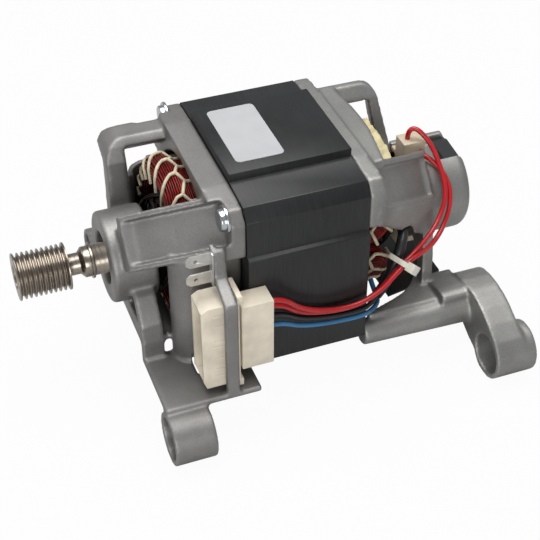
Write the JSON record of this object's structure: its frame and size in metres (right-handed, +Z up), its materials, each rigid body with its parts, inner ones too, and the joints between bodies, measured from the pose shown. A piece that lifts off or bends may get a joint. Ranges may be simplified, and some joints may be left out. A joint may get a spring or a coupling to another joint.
{
  "type": "washing machine motor",
  "caption": "Universal brush motor with grooved belt pulley, open cast end brackets, laminated stator, laced field coils, side connector and mounting lugs.",
  "frame": {"origin": "middle of the box's underside, where the four lugs stand on a surface", "axes": "+X along the shaft from the pulley to the rear housing, +Y away from the connector's side, +Z up"},
  "size_m": [0.2364, 0.174, 0.1209],
  "materials": {
    "armature_sheet": "dark sheet",
    "bearing_steel": "ground",
    "black_insulation": "extruded",
    "black_plastic": "moulded",
    "blue_insulation": "extruded",
    "brass_contact": "stamped",
    "carbon": "pressed carbon",
    "cast_aluminium": "as-cast, fine blasted",
    "copper": "turned copper",
    "cream_plastic": "moulded",
    "enamelled_wire": "red enamel on copper",
    "liner_sheet": "insulating sheet",
    "magnet": "sintered ferrite",
    "red_insulation": "extruded",
    "seal_rubber": "moulded",
    "stack_lacquer": "satin lacquer over stamped sheets",
    "tie_nylon": "moulded nylon",
    "turned_steel": "turned",
    "white_label": "bare label",
    "winding_resin": "impregnated winding",
    "zinc_steel": "zinc plated"
  },
  "bodies": {
    "root": {"front_bracket": "cast_aluminium", "rear_bracket": "cast_aluminium", "stator_core": "stack_lacquer", "field_coil_upper": "enamelled_wire", "field_coil_lower": "enamelled_wire", "field_coil_core_upper": "enamelled_wire", "field_coil_core_lower": "enamelled_wire", "rear_guard": "black_plastic", "slot_liners": "liner_sheet", "through_bolts": "zinc_steel", "label_plate": "white_label", "front_bearing_outer_ring": "bearing_steel", "front_bearing_front_seal": "seal_rubber", "front_bearing_back_seal": "seal_rubber", "rear_bearing_outer_ring": "bearing_steel", "rear_bearing_front_seal": "seal_rubber", "rear_bearing_back_seal": "seal_rubber", "connector_housing": "cream_plastic", "connector_rear_shell": "cream_plastic", "connector_contacts": "brass_contact", "earth_terminal": "zinc_steel", "brush_holder_upper": "cream_plastic", "brush_holder_lower": "cream_plastic", "brush_spring_upper": "zinc_steel", "brush_spring_lower": "zinc_steel", "tacho_coil": "black_plastic", "tacho_cover": "black_plastic", "rear_coil_insulation": "liner_sheet", "red_wire_outer": "red_insulation", "red_wire_inner": "red_insulation", "blue_wire": "blue_insulation", "black_wire": "black_insulation", "lead_sleeve": "black_insulation", "cable_tie": "tie_nylon"},
    "rotor": {"shaft": "turned_steel", "pulley": "turned_steel", "shaft_ring": "zinc_steel", "armature_core": "armature_sheet", "armature_slot_bars": "winding_resin", "armature_winding_front": "winding_resin", "armature_winding_rear": "winding_resin", "commutator_hub": "black_plastic", "commutator_bars": "copper", "commutator_hooks": "copper", "front_bearing_inner_ring": "bearing_steel", "rear_bearing_inner_ring": "bearing_steel", "tacho_magnet": "magnet"},
    "front_ball_cage": {"front_bearing_balls": "bearing_steel"},
    "rear_ball_cage": {"rear_bearing_balls": "bearing_steel"},
    "upper_brush": {"brush_upper": "carbon"},
    "lower_brush": {"brush_lower": "carbon"}
  },
  "joints": [
    {"name": "rotor_spin", "type": "hinge", "parent": "root", "child": "rotor", "pos_m": [-0.11825, 0, 0.0675], "axis": [1, 0, 0], "continuous": true},
    {"name": "front_cage_spin", "type": "hinge", "parent": "root", "child": "front_ball_cage", "pos_m": [-0.06475, 0, 0.0675], "axis": [1, 0, 0], "continuous": true},
    {"name": "rear_cage_spin", "type": "hinge", "parent": "root", "child": "rear_ball_cage", "pos_m": [0.09525, 0, 0.0675], "axis": [1, 0, 0], "continuous": true},
    {"name": "upper_brush_slide", "type": "slide", "parent": "root", "child": "upper_brush", "axis": [0, 0, 1], "range_m": [0, 0.002], "stiffness_N_per_m": 40, "springref_m": -0.01, "deforming": ["brush_spring_upper"]},
    {"name": "lower_brush_slide", "type": "slide", "parent": "root", "child": "lower_brush", "axis": [0, 0, -1], "range_m": [0, 0.002], "stiffness_N_per_m": 40, "springref_m": -0.01, "deforming": ["brush_spring_lower"]}
  ],
  "couplings": [
    {"joint": "front_cage_spin", "follows": "rotor_spin", "ratio": 0.41},
    {"joint": "rear_cage_spin", "follows": "rotor_spin", "ratio": 0.4}
  ]
}
